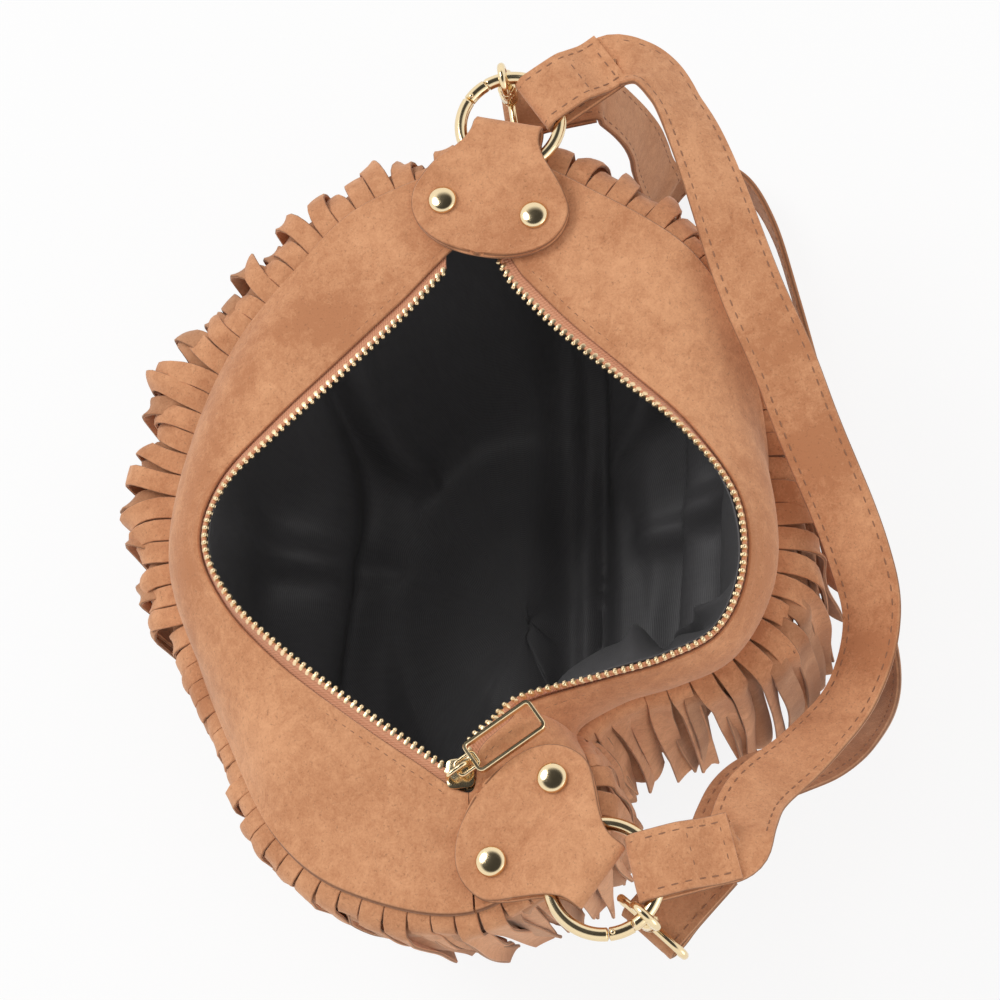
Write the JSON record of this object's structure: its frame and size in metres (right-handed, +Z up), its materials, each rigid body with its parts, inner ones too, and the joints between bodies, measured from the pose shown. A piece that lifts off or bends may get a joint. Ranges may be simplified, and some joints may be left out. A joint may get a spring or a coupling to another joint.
{
  "type": "fringed shoulder bag",
  "caption": "Slouched suede bucket shoulder bag, zip open, with two layers of hanging fringe strips, gate rings on riveted tabs, a looped strap and a second strap on snap hooks.",
  "frame": {"origin": "a point on the flat underside of the base panel, about below the middle of the bag's mouth", "axes": "+Z up; +X along the open zip towards its slider and the bottom tab; -Y towards the side whose fringe is in full view"},
  "size_m": [0.3106, 0.2493, 0.16],
  "materials": {
    "suede": "light tan suede, soft nap",
    "suede_dark": "tan suede in shade",
    "lining": "black satin",
    "tape": "woven zip tape, salmon orange",
    "gold": "polished pale gold plate"
  },
  "bodies": {
    "bag": {"base_panel": "suede_dark", "body_back": "suede_dark", "body_front": "suede_dark", "clip_strap": "suede_dark", "fringe_inner_back": "suede_dark", "fringe_inner_front": "suede_dark", "fringe_outer_back": "suede", "fringe_outer_front": "suede", "hook_bottom": "gold", "hook_top": "gold", "lining": "lining", "rivet_bottom_1": "gold", "rivet_bottom_2": "gold", "rivet_top_1": "gold", "rivet_top_2": "gold", "shoulder_strap": "suede", "tab_bottom": "suede", "tab_top": "suede", "yoke_back": "suede", "yoke_front": "suede", "zip_back": "tape", "zip_front": "tape", "zip_slider": "gold"},
    "ring_top": {"ring_top": "gold"},
    "ring_bottom": {"ring_bottom": "gold"},
    "gate_top": {"ring_gate_top": "gold"},
    "gate_bottom": {"ring_gate_bottom": "gold"},
    "lever_top": {"hook_lever_top": "gold"},
    "lever_bottom": {"hook_lever_bottom": "gold"},
    "eye_top": {"hook_eye_top": "gold"},
    "eye_bottom": {"hook_eye_bottom": "gold"},
    "pull": {"zip_pull": "gold"}
  },
  "joints": [
    {"name": "zip_pull", "type": "hinge", "parent": "bag", "child": "pull", "pos_m": [0.08396, -0.016, 0.1559], "axis": [0.8572, 0.515, 0], "range_deg": [0, 150]},
    {"name": "ring_turn_top", "type": "hinge", "parent": "bag", "child": "ring_top", "pos_m": [-0.12399, 0.01071, 0.1551], "axis": [0, 0, 1], "range_deg": [-10, 30]},
    {"name": "ring_turn_bottom", "type": "hinge", "parent": "bag", "child": "ring_bottom", "pos_m": [0.11906, 0.02471, 0.1551], "axis": [0, 0, 1], "range_deg": [-30, 0]},
    {"name": "ring_gate_top", "type": "hinge", "parent": "ring_top", "child": "gate_top", "pos_m": [-0.13233, -0.00048, 0.1551], "axis": [0, 0, -1], "range_deg": [0, 30], "stiffness_Nm_per_rad": 0.02},
    {"name": "ring_gate_bottom", "type": "hinge", "parent": "ring_bottom", "child": "gate_bottom", "pos_m": [0.13305, 0.02526, 0.1551], "axis": [0, 0, 1], "range_deg": [0, 30], "stiffness_Nm_per_rad": 0.02},
    {"name": "hook_lever_top", "type": "hinge", "parent": "bag", "child": "lever_top", "pos_m": [-0.13686, 0.00953, 0.15103], "axis": [0.0872, -0.9962, 0], "range_deg": [0, 16], "stiffness_Nm_per_rad": 0.01},
    {"name": "hook_lever_bottom", "type": "hinge", "parent": "bag", "child": "lever_bottom", "pos_m": [0.12845, 0.03378, 0.15103], "axis": [-0.6947, 0.7193, 0], "range_deg": [0, 16], "stiffness_Nm_per_rad": 0.01},
    {"name": "hook_eye_top", "type": "hinge", "parent": "bag", "child": "eye_top", "pos_m": [-0.13993, 0.00932, 0.13], "axis": [0, 0, 1], "range_deg": [-30, 30], "deforming": ["clip_strap"]},
    {"name": "hook_eye_bottom", "type": "hinge", "parent": "bag", "child": "eye_bottom", "pos_m": [0.13057, 0.03582, 0.13], "axis": [0, 0, 1], "range_deg": [-30, 30], "deforming": ["clip_strap"]}
  ]
}
